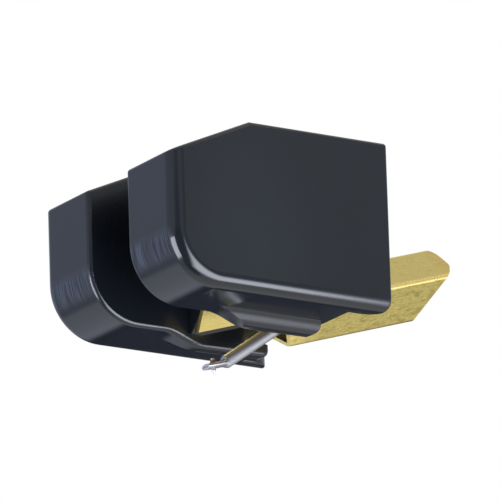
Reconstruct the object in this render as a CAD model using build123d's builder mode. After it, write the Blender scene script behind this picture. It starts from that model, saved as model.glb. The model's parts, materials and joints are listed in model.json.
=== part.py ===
from build123d import *
import os
from math import cos, radians, sin, sqrt

# Plug-in stylus of a record player's pick-up: a moulded grip, a square brass sleeve that pushes
# into the pick-up body, and a sprung aluminium cantilever with its magnet and diamond.
# Millimetres and degrees. +X to the right, +Y to the rear, +Z up. The origin is the point where
# the sleeve's axis crosses the seat, the rear face of the grip's block.

# Grip: two cheeks, joined by a web over the sleeve
grip_width = 17.2
grip_height = 12.25
block_length = 15.14
nose_height = 9.4
brow_run = 6.5
belly_radius = 3.95
plate_reach = 2.7
plate_thickness = 1.75
gap_width = 5.1
web_setback = 8.14
axis_height = 1.88
rim_radius = 1.0
gap_edge_radius = 0.35
crisp_radius = 0.25
mouth_chamfer = 1.1
plate_end_radius = 1.65
plate_foot_radius = 0.2

# Rails under the cheeks, beside the gap
ramp_setback = 6.14
ramp_run = 3.3
ramp_ease = 1.2
rail_depth = 0.88
rail_rear_depth = 0.84
rail_end_gap = 0.38
rail_flat = 0.85
rail_foot = 2.1
rail_end_radius = 0.7
rail_heel_radius = 0.5
rail_overlap = 0.05
rail_tail = 0.03

# Brass sleeve: a folded square tube that stands on its corner
sleeve_tilt = 17.05
sleeve_side = 3.59
sleeve_wall = 0.3
sleeve_bend = 0.1
roof_front = 6.9
roof_lip = 0.15
trough_front = 1.03
trough_lean = 1.33
sleeve_reach = 13.07
keel_setback = 3.45
corner_height = 0.78
corner_radius = 0.4
ridge_radius = 0.9

# Cantilever: an aluminium tube, bent in its bearing and pressed flat at the tip
pivot_reach = 1.1
cantilever_drop = 17.85
cantilever_radius = 0.47
cantilever_bore = 0.35
cantilever_bend = 1.5
tail_length = 4.4
stem_length = 8.6
neck_length = 0.35
blade_angle = 16.0
blade_length = 1.47
blade_width = 1.02
blade_thickness = 0.42
slit_width = 0.62
slit_thickness = 0.1

# Bearing and magnet inside the sleeve
bearing_length = 2.0
bearing_clearance = 0.02
magnet_setback = 2.4
magnet_length = 5.0
magnet_radius = 0.62
magnet_clearance = 0.01

# Stylus pin and diamond
pin_setback = 0.66
pin_lean = 6.0
pin_radius = 0.15
pin_stub = 0.54
pin_drop = 0.36
pin_clearance = 0.01
tip_length = 0.36
tip_radius = 0.018

half_width = grip_width / 2
half_gap = gap_width / 2
plate_inside = half_width - plate_thickness
front = -block_length
bottom = -axis_height
top = bottom + grip_height
web_front = front + web_setback
half_diagonal = sleeve_side / sqrt(2)
sleeve_inside = sleeve_side - 2 * sleeve_wall
bearing_side = sleeve_inside - 2 * bearing_clearance
rounding = 0.001
through = grip_width + grip_height + block_length

axis_y = cos(radians(sleeve_tilt))
axis_z = sin(radians(sleeve_tilt))
# Across the sleeve, looking to the rear; and along it, seen from the right
sleeve_plane = Plane(origin=(0, 0, 0), x_dir=(-1, 0, 0), z_dir=(0, axis_y, axis_z))
lengthwise_plane = Plane(origin=(0, 0, 0), x_dir=(0, axis_y, axis_z), z_dir=(1, 0, 0))

# Right-hand rail: a bar with an S-shaped ramp, a flat foot and a hollow outer flank
with BuildPart() as rail:
    ramp_start = (front + ramp_setback, bottom)
    ramp_end = (front + ramp_setback + ramp_run, bottom - rail_depth)
    rail_end = (-rail_end_gap, bottom - rail_rear_depth)
    rail_slope = (rail_end[1] - ramp_end[1]) / (rail_end[0] - ramp_end[0])
    with BuildSketch(Plane.YZ.offset(half_gap)) as rail_profile:
        with BuildLine():
            Bezier(
                ramp_start,
                (ramp_start[0] + ramp_ease, bottom),
                (ramp_end[0] - ramp_ease, ramp_end[1] - ramp_ease * rail_slope),
                ramp_end,
            )
            Polyline(
                ramp_end,
                rail_end,
                (rail_end[0], bottom + rail_overlap),
                (ramp_start[0], bottom + rail_overlap),
                ramp_start,
            )
        make_face()
        fillet(rail_profile.vertices().sort_by_distance(rail_end)[0], rail_heel_radius)
    extrude(amount=rail_foot)
    with BuildSketch(Plane.XZ):
        foot_edge = (half_gap + rail_flat, bottom - rail_depth)
        flank_top = (half_gap + rail_foot, bottom + rail_tail)
        flank_pull = (rail_foot - rail_flat) / 2
        with BuildLine():
            Bezier(
                foot_edge,
                (foot_edge[0] + flank_pull, foot_edge[1]),
                (flank_top[0] - flank_pull, flank_top[1]),
                flank_top,
            )
            Polyline(
                flank_top,
                (flank_top[0], bottom + rail_overlap),
                (half_gap, bottom + rail_overlap),
                (half_gap, foot_edge[1]),
                foot_edge,
            )
        make_face()
    extrude(amount=through, both=True, mode=Mode.INTERSECT)
    with BuildSketch(Plane.XY) as rail_plan:
        with Locations((half_gap, ramp_start[0])):
            Rectangle(rail_foot, rail_end[0] - ramp_start[0], align=(Align.MIN, Align.MIN))
        heel_corner = (flank_top[0], rail_end[0])
        fillet(rail_plan.vertices().sort_by_distance(heel_corner)[0], rail_end_radius)
    extrude(amount=through, both=True, mode=Mode.INTERSECT)


# Which edges of the right half are rounded, told by an edge's middle point
def is_rim(middle):
    return middle.Y < 0 and middle.Z < bottom + nose_height


def is_slot_edge(middle):
    on_nose = middle.Y < front + rounding
    on_cheek = middle.Y < web_front and middle.Z < bottom + belly_radius
    on_rail = middle.Y < -rail_end_gap - rounding and middle.Z < bottom - rounding
    return on_nose or on_cheek or on_rail


def is_crisp(middle):
    on_slope = middle.Y < front + brow_run + rounding and middle.Z > bottom + nose_height - rounding
    on_side = middle.X > half_width - rounding and middle.Z > top - rounding
    on_slot = abs(middle.X - half_gap) < rounding and middle.Z > top - rounding
    return on_slope or on_side or on_slot


def is_plate_foot(middle):
    return middle.Y > rounding and middle.Z < bottom + rim_radius / 2


# Grip, made as its right half and mirrored
with BuildPart() as grip:
    with BuildSketch(Plane.YZ) as profile:
        with BuildLine():
            Polyline(
                (front, bottom),
                (front, bottom + nose_height),
                (front + brow_run, top),
                (plate_reach, top),
                (plate_reach, bottom),
                close=True,
            )
        make_face()
        fillet(profile.vertices().sort_by_distance((front, bottom))[0], belly_radius)
    extrude(amount=half_width)

    # Slot between the cheeks, and the recess between the rear plates
    with BuildSketch(Plane.XY):
        with Locations((0, front)):
            Rectangle(half_gap, web_setback, align=(Align.MIN, Align.MIN))
        Rectangle(plate_inside, plate_reach, align=(Align.MIN, Align.MIN))
    extrude(amount=through, both=True, mode=Mode.SUBTRACT)

    # Groove of the sleeve under the web
    with BuildSketch(sleeve_plane):
        with BuildLine():
            Polyline(
                (0, half_diagonal),
                (-half_gap, half_diagonal - half_gap),
                (-half_gap, -grip_height),
                (half_gap, -grip_height),
                (half_gap, half_diagonal - half_gap),
                close=True,
            )
        make_face()
    extrude(amount=block_length, both=True, mode=Mode.SUBTRACT)

    # Lead-in at the groove's rear mouth, then the rail
    mouth_edge = grip.edges().filter_by(Axis.Z).sort_by_distance((half_gap, 0, bottom))
    chamfer(mouth_edge[0], mouth_chamfer)
    add(rail.part)

    # Rim round the outside, and the softer edge of the slot that runs on along the rail
    outside = grip.edges().filter_by_position(Axis.X, half_width, half_width)
    fillet(outside.filter_by(lambda edge: is_rim(edge.center())), rim_radius)
    inside = grip.edges().filter_by_position(Axis.X, half_gap, half_gap)
    fillet(inside.filter_by(lambda edge: is_slot_edge(edge.center())), gap_edge_radius)

    # Ends of the rear plates, then the crisp edge round the top
    plate_end = grip.edges().filter_by(Axis.Z).sort_by_distance((plate_inside, plate_reach, 0))
    fillet(plate_end[0], plate_end_radius)
    plate_foot = grip.edges().filter_by(lambda edge: is_plate_foot(edge.center()))
    fillet(plate_foot, plate_foot_radius)
    crisp = grip.edges().filter_by(lambda edge: is_crisp(edge.center()))
    fillet(crisp, crisp_radius)
    mirror(about=Plane.YZ)

# Brass sleeve: the upper half runs forward as a roof, the lower half starts behind the cantilever
with BuildPart() as sleeve:
    with BuildSketch(sleeve_plane):
        RectangleRounded(sleeve_side, sleeve_side, sleeve_bend + sleeve_wall, rotation=45)
        RectangleRounded(sleeve_inside, sleeve_inside, sleeve_bend, rotation=45, mode=Mode.SUBTRACT)
    extrude(amount=through, both=True)
    with BuildSketch(lengthwise_plane) as sleeve_cut:
        rear_corner = (sleeve_reach, corner_height)
        ridge_end = (sleeve_reach, half_diagonal)
        with BuildLine():
            Polyline(
                (-roof_front, half_diagonal),
                (-roof_front, roof_lip),
                (-trough_front - trough_lean, roof_lip),
                (-trough_front, -half_diagonal),
                (sleeve_reach - keel_setback, -half_diagonal),
                rear_corner,
                ridge_end,
                close=True,
            )
        make_face()
        fillet(sleeve_cut.vertices().sort_by_distance(rear_corner)[0], corner_radius)
        fillet(sleeve_cut.vertices().sort_by_distance(ridge_end)[0], ridge_radius)
    extrude(amount=sleeve_side, both=True, mode=Mode.INTERSECT)


# Centre line of the cantilever's round stretch, from inside the magnet to the neck
def along_stem(distance):
    drop = radians(cantilever_drop)
    return (pivot_reach - distance * cos(drop), -distance * sin(drop))


with BuildLine(lengthwise_plane) as stem_line:
    FilletPolyline(
        (pivot_reach + tail_length, 0),
        (pivot_reach, 0),
        along_stem(stem_length - neck_length),
        radius=cantilever_bend,
    )

# Planes across the neck and the blade, each with its first axis across the object
stem_plane = Plane(origin=stem_line.line @ 0, x_dir=(1, 0, 0), z_dir=stem_line.line % 0)
neck_plane = Plane(origin=stem_line.line @ 1, x_dir=(1, 0, 0), z_dir=stem_line.line % 1)
knee = lengthwise_plane.from_local_coords(along_stem(stem_length))
blade_way = (0, -cos(radians(blade_angle)), -sin(radians(blade_angle)))
blade_plane = Plane(origin=knee, x_dir=(1, 0, 0), z_dir=blade_way)
pin_point = blade_plane.from_local_coords((0, 0, blade_length - pin_setback))
pin_way = (0, sin(radians(pin_lean)), -cos(radians(pin_lean)))
pin_plane = Plane(origin=pin_point, x_dir=(1, 0, 0), z_dir=pin_way)

# Cantilever: round tube, neck that flattens, and the flat blade with its mouth pressed to a slit
with BuildPart() as cantilever:
    for radius, width, height, way in (
        (cantilever_radius, blade_width, blade_thickness, Mode.ADD),
        (cantilever_bore, slit_width, slit_thickness, Mode.SUBTRACT),
    ):
        with BuildSketch(stem_plane):
            Circle(radius)
        sweep(path=stem_line.line, mode=way)
        with BuildSketch(neck_plane):
            Circle(radius)
        with BuildSketch(blade_plane):
            Ellipse(width / 2, height / 2)
        loft(mode=way)
        with BuildSketch(blade_plane):
            Ellipse(width / 2, height / 2)
        extrude(amount=blade_length, mode=way)
    with BuildSketch(pin_plane):
        Circle(pin_radius + pin_clearance)
    extrude(amount=pin_stub, both=True, mode=Mode.SUBTRACT)

# Elastomer block that holds the cantilever in the sleeve and lets it rock
with BuildPart() as bearing:
    with BuildSketch(sleeve_plane.offset(pivot_reach - bearing_length / 2)):
        RectangleRounded(bearing_side, bearing_side, sleeve_bend, rotation=45)
    extrude(amount=bearing_length)
    with BuildSketch(stem_plane):
        Circle(cantilever_radius + bearing_clearance)
    sweep(path=stem_line.line, mode=Mode.SUBTRACT)

# Bar magnet on the cantilever's tail, between the pick-up's pole pieces when it is plugged in
with BuildPart() as magnet:
    with BuildSketch(sleeve_plane.offset(pivot_reach + magnet_setback)):
        Circle(magnet_radius)
        Circle(cantilever_radius + magnet_clearance, mode=Mode.SUBTRACT)
    extrude(amount=magnet_length)

# Pin through the blade, and the diamond bonded on its lower end
with BuildPart() as pin:
    with BuildSketch(pin_plane.offset(-pin_stub)):
        Circle(pin_radius)
    extrude(amount=pin_stub + pin_drop)

with BuildPart() as diamond:
    with BuildSketch(pin_plane.offset(pin_drop)):
        Circle(pin_radius)
    with BuildSketch(pin_plane.offset(pin_drop + tip_length)):
        Circle(tip_radius)
    loft()

os.makedirs("parts", exist_ok=True)
for piece, name in (
    (grip, "grip"),
    (sleeve, "shank_sleeve"),
    (bearing, "bearing_block"),
    (magnet, "magnet"),
    (cantilever, "cantilever"),
    (pin, "stylus_pin"),
    (diamond, "diamond_tip"),
):
    piece.part.label = name
    export_step(piece.part, f"parts/{name}.step")
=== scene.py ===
import bmesh
import bpy
import json
from math import cos, degrees, pi, radians, sin, tan
from mathutils import Matrix, Vector


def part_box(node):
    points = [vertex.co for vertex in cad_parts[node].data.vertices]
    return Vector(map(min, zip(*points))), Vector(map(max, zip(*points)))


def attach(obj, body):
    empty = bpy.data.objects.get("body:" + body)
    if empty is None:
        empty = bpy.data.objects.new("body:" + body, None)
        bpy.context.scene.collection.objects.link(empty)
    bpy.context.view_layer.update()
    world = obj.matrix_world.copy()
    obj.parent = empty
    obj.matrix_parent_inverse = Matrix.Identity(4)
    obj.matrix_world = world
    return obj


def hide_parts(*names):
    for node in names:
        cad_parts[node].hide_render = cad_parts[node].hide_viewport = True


# Plug-in stylus of a record player's pick-up, dressed around its CAD frame. Metres, +Z up.
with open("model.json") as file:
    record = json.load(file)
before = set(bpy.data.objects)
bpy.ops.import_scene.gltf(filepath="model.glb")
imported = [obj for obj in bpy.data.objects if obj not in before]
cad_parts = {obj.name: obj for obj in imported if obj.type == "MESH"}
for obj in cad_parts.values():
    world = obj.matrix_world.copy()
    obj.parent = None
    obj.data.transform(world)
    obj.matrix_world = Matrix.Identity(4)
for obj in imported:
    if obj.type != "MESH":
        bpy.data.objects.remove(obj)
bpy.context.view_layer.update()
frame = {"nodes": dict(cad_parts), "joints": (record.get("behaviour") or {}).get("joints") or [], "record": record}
scene = bpy.context.scene
mm = 0.001
micron = 1e-6

pivot = Vector(frame["joints"][0]["pos_m"])
mounts = {mount["name"]: mount for mount in frame["record"]["mounts"]}
shankAxis = Vector(mounts["shank"]["axis"]).normalized()
shankTilt = shankAxis.angle(Vector((0, 1, 0)))
gripLow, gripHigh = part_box("grip")
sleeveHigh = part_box("shank_sleeve")[1]
print("frame loaded with", len(frame["nodes"]), "nodes")

# Mesh work in mm and degrees: points that are one, planes that cut, and what is flat or sharp
meshing = {"merge": 0.0005, "cut": 0.00001, "flat": 0.5, "sharp": 35, "eased": 50, "bevelSegments": 2}
# Most of a noise texture's values lie between these, so a finish is spread over them
noiseSpread = {"From Min": 0.3, "From Max": 0.7}


def linearColour(hexCode):
    # sRGB hex to the linear values that the shaders take
    channels = []
    for start in (1, 3, 5):
        value = int(hexCode[start:start + 2], 16) / 255
        channels.append(value / 12.92 if value <= 0.04045 else ((value + 0.055) / 1.055) ** 2.4)
    return (*channels, 1.0)


def addNode(tree, kind, inputs=None, **settings):
    node = tree.nodes.new(kind)
    for name, value in settings.items():
        setattr(node, name, value)
    for socket, value in (inputs or {}).items():
        if isinstance(value, bpy.types.NodeSocket):
            tree.links.new(value, node.inputs[socket])
        else:
            node.inputs[socket].default_value = value
    return node


def perMetre(sizeMm):
    # pattern scale on Object coordinates, for a pattern of that size
    return 1.0 / (sizeMm * mm)


def newMaterial(name):
    material = bpy.data.materials.new(name)
    material.use_nodes = True
    tree = material.node_tree
    tree.nodes.clear()
    return material, tree


def closeMaterial(tree, inputs):
    # the shader and the output that every material ends in
    shader = addNode(tree, "ShaderNodeBsdfPrincipled", inputs).outputs[0]
    addNode(tree, "ShaderNodeOutputMaterial", {"Surface": shader})


def finishPiece(bm, name, body, material, node=None, sharpAngle=meshing["sharp"]):
    for face in bm.faces:
        face.smooth = True
    for edge in bm.edges:
        edge.smooth = edge.calc_face_angle(0) < radians(sharpAngle)
    mesh = bpy.data.meshes.new(name)
    bm.to_mesh(mesh)
    bm.free()
    piece = bpy.data.objects.new(name, mesh)
    scene.collection.objects.link(piece)
    mesh.materials.append(material)
    normals = piece.modifiers.new("flatsStayFlat", "WEIGHTED_NORMAL")
    normals.keep_sharp = True
    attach(piece, body)
    if node:
        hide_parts(node)
    return piece


def mergedCopy(node):
    bm = bmesh.new()
    bm.from_mesh(frame["nodes"][node].data)
    bmesh.ops.remove_doubles(bm, verts=bm.verts, dist=meshing["merge"] * mm)
    return bm


def joinFlats(bm):
    # flats become single faces, which outweigh the curves beside them in the shading
    bmesh.ops.dissolve_limit(bm, angle_limit=radians(meshing["flat"]), verts=bm.verts, edges=bm.edges)


def easeEdges(bm, width):
    # the sharp edges get a fine bevel
    joinFlats(bm)
    sharp = [edge for edge in bm.edges if edge.calc_face_angle(0) > radians(meshing["eased"])]
    bmesh.ops.bevel(bm, geom=sharp, offset=width, offset_type="OFFSET", segments=meshing["bevelSegments"],
                    profile=0.5, affect="EDGES", material=-1, clamp_overlap=True)


# Camera: low on the right, looking up past the cheeks
view = {"azimuth": 57.104, "elevation": -16.613, "roll": -1.838, "distance": 635.37 * mm,
        "aim": Vector((-0.4282, -3.1464, 4.2163)) * mm, "lens": 650.87, "sensor": 36,
        "nearest": 0.01, "farthest": 10}

cameraData = bpy.data.cameras.new("photoCamera")
cameraData.lens = view["lens"]
cameraData.sensor_width = view["sensor"]
cameraData.clip_start = view["nearest"]
cameraData.clip_end = view["farthest"]
camera = bpy.data.objects.new("photoCamera", cameraData)
scene.collection.objects.link(camera)
camera.matrix_world = (
    Matrix.Translation(view["aim"])
    @ Matrix.Rotation(radians(view["azimuth"]), 4, "Z")
    @ Matrix.Rotation(radians(90 - view["elevation"]), 4, "X")
    @ Matrix.Rotation(radians(view["roll"]), 4, "Z")
    @ Matrix.Translation((0, 0, view["distance"]))
)
scene.camera = camera
print("camera placed")

# Studio: white to the camera, a cool grey tent in the reflections, a softbox in front and one for
# the rims. Each panel, glow or flag of the tent has a direction, a colour, a level, and the angles
# in degrees where it is full and where it ends. Later ones lie over earlier ones.
studio = {"tent": 0.8, "tint": "#e4eaf8", "backdrop": "#ffffff", "floorDrop": 0.8, "floorSize": 3.0,
          "floorTint": "#f2f2f0", "floorRoughness": 0.9, "softboxTint": "#e9eefb"}
panels = {
    "frontPanel": {"way": (-0.80, -0.52, 0.29), "tint": "#d3dbf6", "level": 0.80, "full": 12, "end": 40},
    "sidePanel": {"way": (0.80, 0.52, 0.29), "tint": "#dce7ef", "level": 0.52, "full": 16, "end": 42},
    "sideGlow": {"way": (0.80, 0.52, 0.29), "tint": "#dce7ef", "level": 0.98, "full": 0, "end": 6.5},
    "ceiling": {"way": (-0.11, 0.30, 0.95), "tint": "#f6f4ee", "level": 1.1, "full": 20, "end": 45},
    "topGlow": {"way": (0.725, 0.45, 0.52), "tint": "#f6f4ee", "level": 2.2, "full": 4, "end": 9},
    "rearCard": {"way": (0.11, 0.80, -0.59), "tint": "#f6f4ee", "level": 0.82, "full": 18, "end": 40},
    "floorGlow": {"way": (0.0, 0.30, -0.95), "tint": "#f1f1f2", "level": 1.1, "full": 25, "end": 60},
    "bellyPanel": {"way": (-0.805, -0.10, -0.585), "tint": "#dfe3f4", "level": 1.12, "full": 14, "end": 26},
    "bellyDip": {"way": (-0.80, -0.47, -0.36), "tint": "#cfdaf6", "level": 0.62, "full": 1, "end": 7},
    "darkFlag": {"way": (-0.70, 0.66, -0.28), "tint": "#c4ccf2", "level": 0.095, "full": 21, "end": 32},
    "horizonGlow": {"way": (-0.80, 0.60, 0.06), "tint": "#f6f4ee", "level": 1.1, "full": 5, "end": 11},
    "cameraSide": {"way": (0.72, -0.62, -0.20), "tint": "#d0dcf6", "level": 0.25, "full": 24, "end": 42},
    "cameraLow": {"way": (0.35, -0.50, -0.79), "tint": "#d0dcf6", "level": 0.25, "full": 15, "end": 27},
}
# Each softbox has a direction, and its left and right ends and height as shares of its distance. The
# one for the rims is turned nearly end on, in three layers, because it is brightest at its middle.
rimBox = {"way": (0.670, 0.504, -0.544), "roll": 2, "turn": 61.4, "radiance": 2.9}
softboxes = {
    "rimBoxInner": {**rimBox, "distance": 0.80, "ends": (-0.725, 0.48), "tall": 0.31},
    "rimBoxMiddle": {**rimBox, "distance": 0.82, "ends": (-0.765, 0.53), "tall": 0.44},
    "rimBoxOuter": {**rimBox, "distance": 0.84, "ends": (-0.80, 0.58), "tall": 0.57},
    "frontBox": {"way": (-0.05, -0.947, -0.317), "roll": 0, "turn": 0, "radiance": 9.0, "distance": 0.80,
                 "ends": (-0.345, 0.345), "tall": 0.66},
}


def litColour(hexCode, level):
    return (*(level * value for value in linearColour(hexCode)[:3]), 1.0)


def makeWorld():
    world = bpy.data.worlds.new("studio")
    scene.world = world
    world.use_nodes = True
    tree = world.node_tree
    tree.nodes.clear()
    way = addNode(tree, "ShaderNodeTexCoord").outputs["Generated"]
    colour = litColour(studio["tint"], studio["tent"])
    for panel in panels.values():
        facing = addNode(tree, "ShaderNodeVectorMath", {0: way, 1: Vector(panel["way"]).normalized()},
                         operation="DOT_PRODUCT").outputs["Value"]
        share = addNode(tree, "ShaderNodeMapRange",
                        {"Value": facing, "From Min": cos(radians(panel["end"])),
                         "From Max": cos(radians(panel["full"]))},
                        interpolation_type="SMOOTHSTEP").outputs["Result"]
        colour = addNode(tree, "ShaderNodeMix",
                         {0: share, 6: colour, 7: litColour(panel["tint"], panel["level"])},
                         data_type="RGBA").outputs[2]
    tent = addNode(tree, "ShaderNodeBackground", {"Color": colour}).outputs[0]
    backdrop = addNode(tree, "ShaderNodeBackground", {"Color": linearColour(studio["backdrop"])}).outputs[0]
    seen = addNode(tree, "ShaderNodeLightPath").outputs["Is Camera Ray"]
    mixed = addNode(tree, "ShaderNodeMixShader", {0: seen, 1: tent, 2: backdrop}).outputs[0]
    addNode(tree, "ShaderNodeOutputWorld", {"Surface": mixed})


def addSoftbox(name, box):
    left, right = box["ends"]
    lamp = bpy.data.lights.new(name, "AREA")
    lamp.shape = "RECTANGLE"
    lamp.size = (right - left) * box["distance"]
    lamp.size_y = box["tall"] * box["distance"]
    lamp.energy = box["radiance"] * pi * lamp.size * lamp.size_y
    lamp.color = linearColour(studio["softboxTint"])[:3]
    holder = bpy.data.objects.new(name, lamp)
    scene.collection.objects.link(holder)
    way = Vector(box["way"]).normalized()
    facing = (way.to_track_quat("Z", "Y").to_matrix() @ Matrix.Rotation(radians(box["roll"]), 3, "Z")
              @ Matrix.Rotation(radians(-box["turn"]), 3, "Y"))
    holder.location = view["aim"] + (way + facing.col[0] * (left + right) / 2) * box["distance"]
    holder.rotation_euler = facing.to_euler()
    holder.visible_camera = False


makeWorld()
for boxName, box in softboxes.items():
    addSoftbox(boxName, box)

floorBm = bmesh.new()
bmesh.ops.create_grid(floorBm, x_segments=1, y_segments=1, size=studio["floorSize"])
bmesh.ops.translate(floorBm, verts=floorBm.verts, vec=(0, 0, -studio["floorDrop"]))
floorMesh = bpy.data.meshes.new("paleFloor")
floorBm.to_mesh(floorMesh)
floorBm.free()
floor = bpy.data.objects.new("paleFloor", floorMesh)
scene.collection.objects.link(floor)
floorMaterial, floorTree = newMaterial("palePaper")
closeMaterial(floorTree, {"Base Color": linearColour(studio["floorTint"]),
                          "Roughness": studio["floorRoughness"]})
floorMesh.materials.append(floorMaterial)
floor.visible_glossy = False
scene.view_settings.view_transform = "Standard"
print("studio lit")

# Grip: black ABS, injection moulded in a polished tool. Deep gloss that dulls to the rear, with faint
# flow clouds, slightly crowned faces, a fine skin that is grainier on the rails and in the gap, and
# rub marks over the bellies where fingers hold it. The skin and the marks are drawn coarser than real
# ones, as they need to be to show. Sizes and places are in mm.
plastic = {"colour": "#0d0f13", "cloud": "#101318", "cloudMm": 3.5, "ior": 1.53,
           "roughness": 0.13, "rearRoughness": 0.27, "dullFrom": -8.0, "dullTo": 2.0,
           "crown": 2.5, "crownY": -8.2, "crownZ": 1.5,
           "skinMm": 0.16, "skinMicrons": 0.25, "railSkin": 9.0, "railRoughness": 0.28,
           "railBlend": 0.22, "gapGrain": 0.45, "grainEdge": (0.35, 0.2),
           "rubbed": "#2b323e", "rubbedRoughness": 0.30, "rubRelief": 2.0, "rubMm": (0.11, 2.2),
           "rubRange": (0.42, 0.62), "rubFrom": 1.7, "rubTo": 4.2, "rubFade": 0.7, "rubDepth": 1.2,
           "rim": 1.0, "gapEdge": (0.02, 0.12), "sharpAngle": 40}
rail = {"gap": 5.1, "flat": 0.85, "foot": 2.1, "depth": 0.88, "tail": 0.03, "slack": 0.015,
        "overrun": 0.02, "precision": 1e-5, "strips": 20}
railFoot = gripLow.z + rail["depth"] * mm
gapSide = rail["gap"] / 2 * mm


def rubMarks(tree, place, at, aside):
    # fine across the cheeks, long round the bellies, and fading out at the edges of the patch
    fine, long = plastic["rubMm"]
    stretched = addNode(tree, "ShaderNodeVectorMath",
                        {0: place, 1: (perMetre(fine), perMetre(long), perMetre(long))},
                        operation="MULTIPLY").outputs[0]
    lines = addNode(tree, "ShaderNodeTexNoise", {"Vector": stretched, "Scale": 1.0, "Detail": 4}).outputs[0]
    rubbed = addNode(tree, "ShaderNodeMapRange",
                     {"Value": lines, "From Min": plastic["rubRange"][0],
                      "From Max": plastic["rubRange"][1]}).outputs[0]
    fade = plastic["rubFade"] * mm
    lowest = railFoot + plastic["rubFrom"] * mm
    highest = railFoot + plastic["rubTo"] * mm
    rearmost = gripLow.y + plastic["rubDepth"] * mm
    rim = plastic["rim"] * mm
    wall, flat = (gapSide + edge * mm for edge in plastic["gapEdge"])
    # what each edge is measured along, where the marks end and where they are full
    edges = ((at["Z"], lowest, lowest + fade), (at["Z"], highest, highest - fade),
             (at["Y"], rearmost, rearmost - fade),
             (aside, gripHigh.x - rim / 2, gripHigh.x - rim), (aside, wall, flat))
    for value, end, full in edges:
        share = addNode(tree, "ShaderNodeMapRange",
                        {"Value": value, "From Min": end, "From Max": full}).outputs[0]
        rubbed = addNode(tree, "ShaderNodeMath", {0: rubbed, 1: share}, operation="MULTIPLY").outputs[0]
    return rubbed


def crownedFaces(tree, place):
    # a bowl-shaped bump over the whole grip, which bends the reflections on its flats a little. It falls
    # by the crown times the square of the distance from its middle, in metres.
    middle = (0, plastic["crownY"] * mm, plastic["crownZ"] * mm)
    off = addNode(tree, "ShaderNodeVectorMath", {0: place, 1: middle}, operation="SUBTRACT").outputs[0]
    inPlane = addNode(tree, "ShaderNodeVectorMath", {0: off, 1: (0, 1, 1)}, operation="MULTIPLY").outputs[0]
    squared = addNode(tree, "ShaderNodeVectorMath", {0: inPlane, 1: inPlane},
                      operation="DOT_PRODUCT").outputs["Value"]
    sag = addNode(tree, "ShaderNodeMath", {0: squared, 1: -plastic["crown"]},
                  operation="MULTIPLY").outputs[0]
    return addNode(tree, "ShaderNodeBump", {"Height": sag, "Distance": 1.0}).outputs[0]


def mouldedAbs():
    material, tree = newMaterial("mouldedBlackAbs")
    place = addNode(tree, "ShaderNodeTexCoord").outputs["Object"]
    at = addNode(tree, "ShaderNodeSeparateXYZ", {0: place}).outputs
    aside = addNode(tree, "ShaderNodeMath", {0: at["X"]}, operation="ABSOLUTE").outputs[0]
    rubbed = rubMarks(tree, place, at, aside)
    clouds = addNode(tree, "ShaderNodeTexNoise",
                     {"Vector": place, "Scale": perMetre(plastic["cloudMm"]), "Detail": 3}).outputs[0]
    base = addNode(tree, "ShaderNodeMix",
                   {0: clouds, 6: linearColour(plastic["colour"]), 7: linearColour(plastic["cloud"])},
                   data_type="RGBA").outputs[2]
    colour = addNode(tree, "ShaderNodeMix", {0: rubbed, 6: base, 7: linearColour(plastic["rubbed"])},
                     data_type="RGBA").outputs[2]

    # duller to the rear, on the grainy rails and gap walls, and on the rub marks
    onRail = addNode(tree, "ShaderNodeMapRange",
                     {"Value": at["Z"], "From Min": railFoot,
                      "From Max": railFoot - plastic["railBlend"] * mm}).outputs[0]
    bright, grain = (gapSide + edge * mm for edge in plastic["grainEdge"])
    inGap = addNode(tree, "ShaderNodeMapRange",
                    {"Value": aside, "From Min": bright, "From Max": grain,
                     "To Max": plastic["gapGrain"]}).outputs[0]
    grainy = addNode(tree, "ShaderNodeMath", {0: onRail, 1: inGap}, operation="MAXIMUM").outputs[0]
    gloss = addNode(tree, "ShaderNodeMapRange",
                    {"Value": at["Y"], "From Min": plastic["dullFrom"] * mm,
                     "From Max": plastic["dullTo"] * mm, "To Min": plastic["roughness"],
                     "To Max": plastic["rearRoughness"]}).outputs[0]
    dulled = addNode(tree, "ShaderNodeMapRange",
                     {"Value": grainy, "To Min": gloss, "To Max": plastic["railRoughness"]}).outputs[0]
    roughness = addNode(tree, "ShaderNodeMapRange",
                        {"Value": rubbed, "To Min": dulled, "To Max": plastic["rubbedRoughness"]}).outputs[0]

    skin = addNode(tree, "ShaderNodeTexNoise",
                   {"Vector": place, "Scale": perMetre(plastic["skinMm"]), "Detail": 2}).outputs[0]
    coarse = addNode(tree, "ShaderNodeMapRange",
                     {"Value": grainy, "To Min": 1.0, "To Max": plastic["railSkin"]}).outputs[0]
    grained = addNode(tree, "ShaderNodeMath", {0: skin, 1: coarse}, operation="MULTIPLY").outputs[0]
    relief = addNode(tree, "ShaderNodeMath", {0: rubbed, 1: plastic["rubRelief"], 2: grained},
                     operation="MULTIPLY_ADD").outputs[0]
    bump = addNode(tree, "ShaderNodeBump",
                   {"Height": relief, "Distance": plastic["skinMicrons"] * micron,
                    "Normal": crownedFaces(tree, place)}).outputs[0]
    closeMaterial(tree, {"Base Color": colour, "Roughness": roughness, "IOR": plastic["ior"],
                         "Normal": bump})
    return material


def flankAt(out):
    # height and slope of a rail's flank, at a share of the way out from the rail's flat to its foot:
    # a Bezier curve that starts and ends level, with its handles half way across
    low, high = 0.0, 1.0
    while high - low > rail["precision"]:
        middle = (low + high) / 2
        if middle ** 3 - 1.5 * middle ** 2 + 1.5 * middle < out:
            low = middle
        else:
            high = middle
    rise = rail["depth"] + rail["tail"]
    run = (rail["foot"] - rail["flat"]) * (3 * low * low - 3 * low + 1.5)
    return gripLow.z + rise * low * low * (3 - 2 * low) * mm, rise * 6 * low * (1 - low) / run


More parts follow.
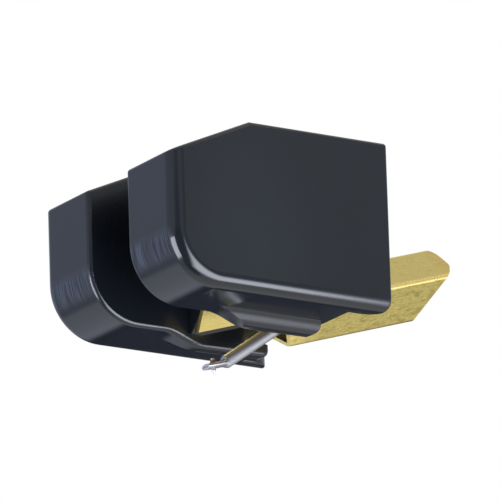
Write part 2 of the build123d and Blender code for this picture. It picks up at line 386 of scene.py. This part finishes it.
def flankNormal(place):
    # outward normal at a place on a rail's flank, or nothing for a place that isn't on it
    out = (abs(place.x) / mm - rail["gap"] / 2 - rail["flat"]) / (rail["foot"] - rail["flat"])
    height, slope = flankAt(out)
    if not -rail["overrun"] < out < 1 + rail["overrun"] or abs(place.z - height) > rail["slack"] * mm:
        return None
    return Vector((slope if place.x > 0 else -slope, 0, -1)).normalized()


def sliceFlanks(bm):
    # cuts the flanks into even strips along the rails, with every cut on the true curve
    for side in (-1, 1):
        for step in range(1, rail["strips"]):
            share = step / rail["strips"]
            out = rail["flat"] + (rail["foot"] - rail["flat"]) * share
            faces = [face for face in bm.faces if all(flankNormal(vert.co) for vert in face.verts)]
            parts = faces + list({edge for face in faces for edge in face.edges})
            parts += list({vert for face in faces for vert in face.verts})
            cut = bmesh.ops.bisect_plane(bm, geom=parts, dist=meshing["cut"] * mm, plane_no=(1, 0, 0),
                                         plane_co=(side * (gapSide + out * mm), 0, 0))
            for made in cut["geom_cut"]:
                if isinstance(made, bmesh.types.BMVert):
                    made.co.z = flankAt(share)[0]


def smoothFlanks(piece):
    # true normals on the two flanks, whose long facets would show as blots in the gloss
    shown = piece.evaluated_get(bpy.context.evaluated_depsgraph_get()).to_mesh()
    normals = [corner.vector.copy() for corner in shown.corner_normals]
    mesh = piece.data
    onFlank = [flankNormal(vert.co) for vert in mesh.vertices]
    for face in mesh.polygons:
        wanted = [onFlank[vert] for vert in face.vertices]
        if all(wanted):
            for corner, normal in zip(face.loop_indices, wanted):
                normals[corner] = normal
    piece.modifiers.clear()
    mesh.normals_split_custom_set(normals)


gripBm = mergedCopy("grip")
sliceFlanks(gripBm)
joinFlats(gripBm)
gripPiece = finishPiece(gripBm, "gripMoulding", "holder", mouldedAbs(), "grip",
                        plastic["sharpAngle"])
smoothFlanks(gripPiece)
print("grip finished")

# Sleeve: brass sheet, rolled and folded. Satin, with soft mottling and darker tarnish spots that are
# weaker on the upper faces, a warmer end, a painted highlight of brighter gold along the folds, and
# lines along the tube, which are drawn coarser than real ones so that they show. Sizes and places are in mm.
brass = {"clean": "#e2cd80", "duller": "#b9aa66", "dullerFrom": -1.0, "dullerTo": 2.0,
         "mottleMm": (0.08, 0.3), "mottleShade": 0.6, "roughness": (0.23, 0.35),
         "tarnish": "#7d6c38", "spotMm": (0.3, 0.9), "spotRange": (0.52, 0.74), "spotShare": 0.7,
         "upperWear": 0.25, "wearBlend": 0.2,
         "warm": "#c0913c", "warmFrom": 10.8, "warmTo": 12.5, "warmShare": 0.45,
         "foldHighlight": "#efd384", "foldMm": 0.09, "foldRoughness": 0.36,
         "lineMm": (0.05, 3.0), "lineMicrons": 0.5, "edgeMm": 0.025, "sharpAngle": 40}


def alongTube(tree, place, tilt, sizes):
    # Object coordinates turned so that Y runs along a tube, scaled to a pattern's width and length
    fine, long = sizes
    turned = addNode(tree, "ShaderNodeMapping", {"Vector": place, "Rotation": (-tilt, 0, 0)}).outputs[0]
    scale = (perMetre(fine), perMetre(long), perMetre(fine))
    return addNode(tree, "ShaderNodeVectorMath", {0: turned, 1: scale}, operation="MULTIPLY").outputs[0]


def rolledBrass():
    material, tree = newMaterial("rolledBrass")
    place = addNode(tree, "ShaderNodeTexCoord").outputs["Object"]
    back = addNode(tree, "ShaderNodeSeparateXYZ", {0: place}).outputs["Y"]
    inTube = addNode(tree, "ShaderNodeSeparateXYZ",
                     {0: alongTube(tree, place, shankTilt, (1.0, 1.0))}).outputs
    mottle = addNode(tree, "ShaderNodeTexNoise",
                     {"Vector": alongTube(tree, place, shankTilt, brass["mottleMm"]), "Scale": 1.0,
                      "Detail": 5, "Roughness": 0.6}).outputs[0]
    spots = addNode(tree, "ShaderNodeTexNoise",
                    {"Vector": alongTube(tree, place, shankTilt, brass["spotMm"]), "Scale": 1.0,
                     "Detail": 3}).outputs[0]
    lines = addNode(tree, "ShaderNodeTexNoise",
                    {"Vector": alongTube(tree, place, shankTilt, brass["lineMm"]), "Scale": 1.0,
                     "Detail": 3}).outputs[0]

    # mottling round a shade that deepens towards the rear, then spots of tarnish
    worn = addNode(tree, "ShaderNodeMapRange",
                   {"Value": inTube["Z"], "From Min": -brass["wearBlend"], "From Max": brass["wearBlend"],
                    "To Min": 1.0, "To Max": brass["upperWear"]}).outputs[0]
    duller = addNode(tree, "ShaderNodeMapRange",
                      {"Value": back, "From Min": brass["dullerFrom"] * mm,
                       "From Max": brass["dullerTo"] * mm}).outputs[0]
    patchy = addNode(tree, "ShaderNodeMapRange",
                     {"Value": mottle, **noiseSpread, "To Min": -brass["mottleShade"],
                      "To Max": brass["mottleShade"]}).outputs[0]
    shade = addNode(tree, "ShaderNodeMath", {0: patchy, 1: worn, 2: duller},
                    operation="MULTIPLY_ADD").outputs[0]
    sheet = addNode(tree, "ShaderNodeMix",
                    {0: shade, 6: linearColour(brass["clean"]), 7: linearColour(brass["duller"])},
                    data_type="RGBA", clamp_factor=False).outputs[2]
    spotted = addNode(tree, "ShaderNodeMapRange",
                      {"Value": spots, "From Min": brass["spotRange"][0], "From Max": brass["spotRange"][1],
                       "To Max": brass["spotShare"]}).outputs[0]
    tarnished = addNode(tree, "ShaderNodeMath", {0: spotted, 1: worn}, operation="MULTIPLY").outputs[0]
    warm = addNode(tree, "ShaderNodeMapRange",
                   {"Value": back, "From Min": brass["warmFrom"] * mm, "From Max": brass["warmTo"] * mm,
                    "To Max": brass["warmShare"]}).outputs[0]

    # the folds are the places farthest from the tube's axis, across it or above and below it
    aside = addNode(tree, "ShaderNodeMath", {0: inTube["X"]}, operation="ABSOLUTE").outputs[0]
    above = addNode(tree, "ShaderNodeMath", {0: inTube["Z"]}, operation="ABSOLUTE").outputs[0]
    outermost = addNode(tree, "ShaderNodeMath", {0: aside, 1: above}, operation="MAXIMUM").outputs[0]
    onFold = addNode(tree, "ShaderNodeMapRange",
                     {"Value": outermost, "From Min": sleeveHigh.x / mm - brass["foldMm"],
                      "From Max": sleeveHigh.x / mm}, interpolation_type="SMOOTHSTEP").outputs[0]

    # over the sheet go the tarnish, the warmer end, and a brighter gold along the folds that is a painted
    # highlight
    colour = sheet
    for share, name in ((tarnished, "tarnish"), (warm, "warm"), (onFold, "foldHighlight")):
        colour = addNode(tree, "ShaderNodeMix", {0: share, 6: colour, 7: linearColour(brass[name])},
                         data_type="RGBA").outputs[2]
    satin = addNode(tree, "ShaderNodeMapRange",
                    {"Value": mottle, **noiseSpread, "To Min": brass["roughness"][0],
                     "To Max": brass["roughness"][1]}).outputs[0]
    roughness = addNode(tree, "ShaderNodeMapRange",
                        {"Value": onFold, "To Min": satin, "To Max": brass["foldRoughness"]}).outputs[0]
    bump = addNode(tree, "ShaderNodeBump",
                   {"Height": lines, "Distance": brass["lineMicrons"] * micron}).outputs[0]
    closeMaterial(tree, {"Base Color": colour, "Roughness": roughness, "Metallic": 1.0, "Normal": bump})
    return material


sleeveBm = mergedCopy("shank_sleeve")
easeEdges(sleeveBm, brass["edgeMm"] * mm)
finishPiece(sleeveBm, "foldedSleeve", "holder", rolledBrass(), "shank_sleeve", brass["sharpAngle"])
print("sleeve finished")

# Cantilever: a drawn aluminium tube, pressed flat at the tip. Silky, with draw lines along it, which
# are drawn coarser than real ones so that they show. Sizes are in mm, angles in degrees.
tube = {"radius": 0.47, "bore": 0.35, "drop": 17.85, "bend": 1.5, "tail": 4.4, "stem": 8.6, "neck": 0.35,
        "bladeAngle": 16.0, "bladeLength": 1.47, "bladeWidth": 1.02, "bladeThickness": 0.42,
        "slitWidth": 0.62, "slitThickness": 0.1, "lip": 0.04, "lipSegments": 3, "points": 64,
        "bendRings": 6, "neckRings": 10, "sharpAngle": 50}
aluminium = {"colour": "#bcbcbe", "shadow": "#a2a2a4", "roughness": (0.40, 0.50), "lineMm": (0.035, 2.5),
             "lineMicrons": 0.4}
stemAxis = Matrix.Rotation(radians(tube["drop"]), 4, "X") @ shankAxis
bladeWay = Vector((0, -cos(radians(tube["bladeAngle"])), -sin(radians(tube["bladeAngle"]))))


def stemPoint(distance):
    # along the tube from the bearing towards the tip
    return pivot - stemAxis * distance * mm


def ringAt(bm, centre, angle, halfWidth, halfHeight):
    # one cross-section, facing down the tube at that angle below the level
    facing = Matrix.Rotation(radians(90 + angle), 4, "X")
    shape = Matrix.Diagonal((halfWidth * mm, halfHeight * mm, 1, 1))
    made = bmesh.ops.create_circle(bm, segments=tube["points"], radius=1.0,
                                   matrix=Matrix.Translation(centre) @ facing @ shape)
    return list({edge for vert in made["verts"] for edge in vert.link_edges})


def drawnAluminium():
    material, tree = newMaterial("drawnAluminium")
    place = addNode(tree, "ShaderNodeTexCoord").outputs["Object"]
    stemTilt = shankTilt + radians(tube["drop"])
    lines = addNode(tree, "ShaderNodeTexNoise",
                    {"Vector": alongTube(tree, place, stemTilt, aluminium["lineMm"]), "Scale": 1.0,
                     "Detail": 3}).outputs[0]
    colour = addNode(tree, "ShaderNodeMix",
                     {0: lines, 6: linearColour(aluminium["colour"]), 7: linearColour(aluminium["shadow"])},
                     data_type="RGBA").outputs[2]
    roughness = addNode(tree, "ShaderNodeMapRange",
                        {"Value": lines, **noiseSpread, "To Min": aluminium["roughness"][0],
                         "To Max": aluminium["roughness"][1]}).outputs[0]
    bump = addNode(tree, "ShaderNodeBump",
                   {"Height": lines, "Distance": aluminium["lineMicrons"] * micron}).outputs[0]
    closeMaterial(tree, {"Base Color": colour, "Roughness": roughness, "Metallic": 1.0, "Normal": bump})
    return material


def tubeStations():
    # centre, angle below the level and how far the tube is pressed flat, from the tail to the tip
    tilt = degrees(shankTilt)
    tangent = tube["bend"] * tan(radians(tube["drop"] / 2))
    stations = [(pivot + shankAxis * tube["tail"] * mm, tilt, 0.0)]
    turnCentre = pivot + shankAxis * tangent * mm
    down = Matrix.Rotation(radians(-90), 4, "X") @ shankAxis
    for step in range(tube["bendRings"] + 1):
        turned = tube["drop"] * step / tube["bendRings"]
        arm = Matrix.Rotation(radians(turned), 4, "X") @ down
        stations.append((turnCentre + (down - arm) * tube["bend"] * mm, tilt + turned, 0.0))
    stemAngle = tilt + tube["drop"]
    for step in range(tube["neckRings"] + 1):
        share = step / tube["neckRings"]
        pressed = share * share * (3 - 2 * share)
        angle = stemAngle + (tube["bladeAngle"] - stemAngle) * pressed
        stations.append((stemPoint(tube["stem"] - tube["neck"] * (1 - share)), angle, pressed))
    bladeEnd = stemPoint(tube["stem"]) + bladeWay * tube["bladeLength"] * mm
    stations.append((bladeEnd, tube["bladeAngle"], 1.0))
    return stations


def makeCantilever():
    bm = bmesh.new()
    outside, inside = [], []
    for centre, angle, pressed in tubeStations():
        for rings, radius, width, thickness in (
            (outside, tube["radius"], tube["bladeWidth"], tube["bladeThickness"]),
            (inside, tube["bore"], tube["slitWidth"], tube["slitThickness"]),
        ):
            rings.append(ringAt(bm, centre, angle, radius + (width / 2 - radius) * pressed,
                                radius + (thickness / 2 - radius) * pressed))
    for rings in (outside, inside):
        for first, second in zip(rings, rings[1:]):
            bmesh.ops.bridge_loops(bm, edges=first + second)
    for end in (0, -1):
        bmesh.ops.bridge_loops(bm, edges=outside[end] + inside[end])
    bmesh.ops.recalc_face_normals(bm, faces=bm.faces)
    bmesh.ops.bevel(bm, geom=outside[0] + outside[-1], offset=tube["lip"] * mm, offset_type="OFFSET",
                    segments=tube["lipSegments"], profile=0.5, affect="EDGES", material=-1)
    return bm


finishPiece(makeCantilever(), "cantileverTube", "stylus", drawnAluminium(), "cantilever",
            tube["sharpAngle"])
print("cantilever finished")

# Pin: a ground metal shank, with the diamond bonded under it and a bead of brown epoxy round it.
# Sizes are in mm, and what the bead rises by is measured from the blade's top or from the pin's middle.
pin = {"radius": 0.15, "setback": 0.66, "lean": 6.0, "stub": 0.54, "drop": 0.36, "chamfer": 0.03,
       "tipLength": 0.36, "tipRadius": 0.018, "steps": 32}
pinSteel = {"colour": "#a7a39e", "roughness": (0.22, 0.38), "grindMm": 0.04, "grindMicrons": 0.3}
diamond = {"colour": "#e6e6ea", "roughness": 0.08, "ior": 2.42, "clear": 0.6}
bead = {"root": 0.27, "rootSink": 0.05, "shoulder": 0.86, "shoulderRise": 0.02, "skin": 0.03,
        "skinRise": 0.10, "topSkin": 0.6, "rise": 0.40, "topDome": 0.01, "sharpAngle": 60}
epoxy = {"light": "#7a5a34", "dark": "#4f3820", "cloudMm": 0.15, "roughness": 0.15, "ior": 1.5,
         "clear": 0.2}

pinPoint = stemPoint(tube["stem"]) + bladeWay * (tube["bladeLength"] - pin["setback"]) * mm
pinPlace = Matrix.Translation(pinPoint) @ Matrix.Rotation(radians(180 + pin["lean"]), 4, "X")


def turnedPiece(profile):
    # spins a half section, given as (radius, distance down the pin) in mm, round the pin's axis
    bm = bmesh.new()
    verts = [bm.verts.new((radius * mm, 0, down * mm)) for radius, down in profile]
    edges = [bm.edges.new(pair) for pair in zip(verts, verts[1:])]
    bmesh.ops.spin(bm, geom=verts + edges, cent=(0, 0, 0), axis=(0, 0, 1), dvec=(0, 0, 0), angle=2 * pi,
                   steps=pin["steps"], use_merge=True)
    bmesh.ops.remove_doubles(bm, verts=bm.verts, dist=meshing["merge"] * mm)
    bmesh.ops.recalc_face_normals(bm, faces=bm.faces)
    bmesh.ops.transform(bm, matrix=pinPlace, verts=bm.verts)
    return bm


def groundMetal(name, finish):
    # ground metal: grey, with grinding marks that are drawn coarser than real ones so that they show
    material, tree = newMaterial(name)
    place = addNode(tree, "ShaderNodeTexCoord").outputs["Object"]
    marks = addNode(tree, "ShaderNodeTexNoise",
                    {"Vector": place, "Scale": perMetre(finish["grindMm"]), "Detail": 4}).outputs[0]
    roughness = addNode(tree, "ShaderNodeMapRange",
                        {"Value": marks, **noiseSpread, "To Min": finish["roughness"][0],
                         "To Max": finish["roughness"][1]}).outputs[0]
    bump = addNode(tree, "ShaderNodeBump",
                   {"Height": marks, "Distance": finish["grindMicrons"] * micron}).outputs[0]
    closeMaterial(tree, {"Base Color": linearColour(finish["colour"]), "Roughness": roughness,
                         "Metallic": 1.0, "Normal": bump})
    return material


def polishedDiamond():
    # polished diamond: clear, with a strong glint
    material, tree = newMaterial("polishedDiamond")
    closeMaterial(tree, {"Base Color": linearColour(diamond["colour"]), "Roughness": diamond["roughness"],
                         "IOR": diamond["ior"], "Transmission Weight": diamond["clear"]})
    return material


def curedEpoxy():
    # epoxy, cured brown: smooth and a little see-through at its thin edge
    material, tree = newMaterial("curedEpoxy")
    place = addNode(tree, "ShaderNodeTexCoord").outputs["Object"]
    clouds = addNode(tree, "ShaderNodeTexNoise",
                     {"Vector": place, "Scale": perMetre(epoxy["cloudMm"]), "Detail": 2}).outputs[0]
    colour = addNode(tree, "ShaderNodeMix",
                     {0: clouds, 6: linearColour(epoxy["light"]), 7: linearColour(epoxy["dark"])},
                     data_type="RGBA").outputs[2]
    closeMaterial(tree, {"Base Color": colour, "Roughness": epoxy["roughness"], "IOR": epoxy["ior"],
                         "Transmission Weight": epoxy["clear"]})
    return material


pinTop = -pin["stub"]
pinProfile = [(0, pinTop), (pin["radius"] - pin["chamfer"], pinTop),
              (pin["radius"], pinTop + pin["chamfer"]), (pin["radius"], pin["drop"]), (0, pin["drop"])]
finishPiece(turnedPiece(pinProfile), "stylusPin", "stylus",
            groundMetal("groundPinSteel", pinSteel), "stylus_pin")

tipEnd = pin["drop"] + pin["tipLength"]
tipProfile = [(0, pin["drop"]), (pin["radius"], pin["drop"]),
              (pin["tipRadius"], tipEnd - pin["tipRadius"]), (0, tipEnd)]
finishPiece(turnedPiece(tipProfile), "diamondPoint", "stylus", polishedDiamond(), "diamond_tip")

bladeTop = -tube["bladeThickness"] / 2
beadProfile = [(pin["radius"] / 2, bladeTop + bead["rootSink"]), (bead["root"], bladeTop + bead["rootSink"]),
               (bead["root"] * bead["shoulder"], bladeTop - bead["shoulderRise"]),
               (pin["radius"] + bead["skin"], bladeTop - bead["skinRise"]),
               (pin["radius"] + bead["skin"] * bead["topSkin"], -bead["rise"]),
               (pin["radius"] / 2, -bead["rise"] - bead["topDome"])]
finishPiece(turnedPiece(beadProfile), "epoxyBead", "stylus", curedEpoxy(),
            sharpAngle=bead["sharpAngle"])
print("pin, diamond and bead finished")

# Bearing block: moulded elastomer, matt and dark, a little barrelled outside and flared in its bore,
# which is the room that the tube needs to rock. Magnet: a small ground bar. Sizes are in mm.
bearing = {"colour": "#1a1a1b", "dust": "#2b2b2c", "grainMm": 0.12, "grainMicrons": 2.0, "roughness": 0.75,
           "ior": 1.45, "sheen": 0.2, "edgeMm": 0.05, "half": 1.0, "slack": 0.03, "barrel": 0.05,
           "flare": 0.09, "boreReach": 0.8, "sharpAngle": 40}
magnet = {"colour": "#8d9095", "roughness": (0.27, 0.43), "grindMm": 0.08, "grindMicrons": 0.6,
          "edgeMm": 0.05, "sharpAngle": 40}


def mouldedElastomer():
    material, tree = newMaterial("mouldedElastomer")
    place = addNode(tree, "ShaderNodeTexCoord").outputs["Object"]
    grain = addNode(tree, "ShaderNodeTexNoise",
                    {"Vector": place, "Scale": perMetre(bearing["grainMm"]), "Detail": 4}).outputs[0]
    colour = addNode(tree, "ShaderNodeMix",
                     {0: grain, 6: linearColour(bearing["colour"]), 7: linearColour(bearing["dust"])},
                     data_type="RGBA").outputs[2]
    bump = addNode(tree, "ShaderNodeBump",
                   {"Height": grain, "Distance": bearing["grainMicrons"] * micron}).outputs[0]
    closeMaterial(tree, {"Base Color": colour, "Roughness": bearing["roughness"], "IOR": bearing["ior"],
                         "Sheen Weight": bearing["sheen"], "Normal": bump})
    return material


def leaveRoom(bm):
    # both ends of the block draw in and both ends of its bore open out, from the middle on
    bmesh.ops.bisect_plane(bm, geom=bm.verts[:] + bm.edges[:] + bm.faces[:], dist=meshing["cut"] * mm,
                           plane_co=pivot, plane_no=shankAxis)
    for vert in bm.verts:
        off = vert.co - pivot
        along = off.dot(shankAxis)
        share = min(1.0, abs(along) / (bearing["half"] * mm))
        line = stemAxis if along < 0 else shankAxis
        fromBore = off - line * off.dot(line)
        if fromBore.length < bearing["boreReach"] * mm:
            vert.co += fromBore.normalized() * bearing["flare"] * share * mm
        else:
            drawn = bearing["slack"] + bearing["barrel"] * share
            vert.co -= (off - shankAxis * along).normalized() * drawn * mm


bearingBm = mergedCopy("bearing_block")
easeEdges(bearingBm, bearing["edgeMm"] * mm)
leaveRoom(bearingBm)
finishPiece(bearingBm, "bearingBlock", "bearing", mouldedElastomer(), "bearing_block",
            bearing["sharpAngle"])
magnetBm = mergedCopy("magnet")
easeEdges(magnetBm, magnet["edgeMm"] * mm)
finishPiece(magnetBm, "barMagnet", "stylus", groundMetal("groundMagnet", magnet), "magnet",
            magnet["sharpAngle"])
print("bearing and magnet finished")
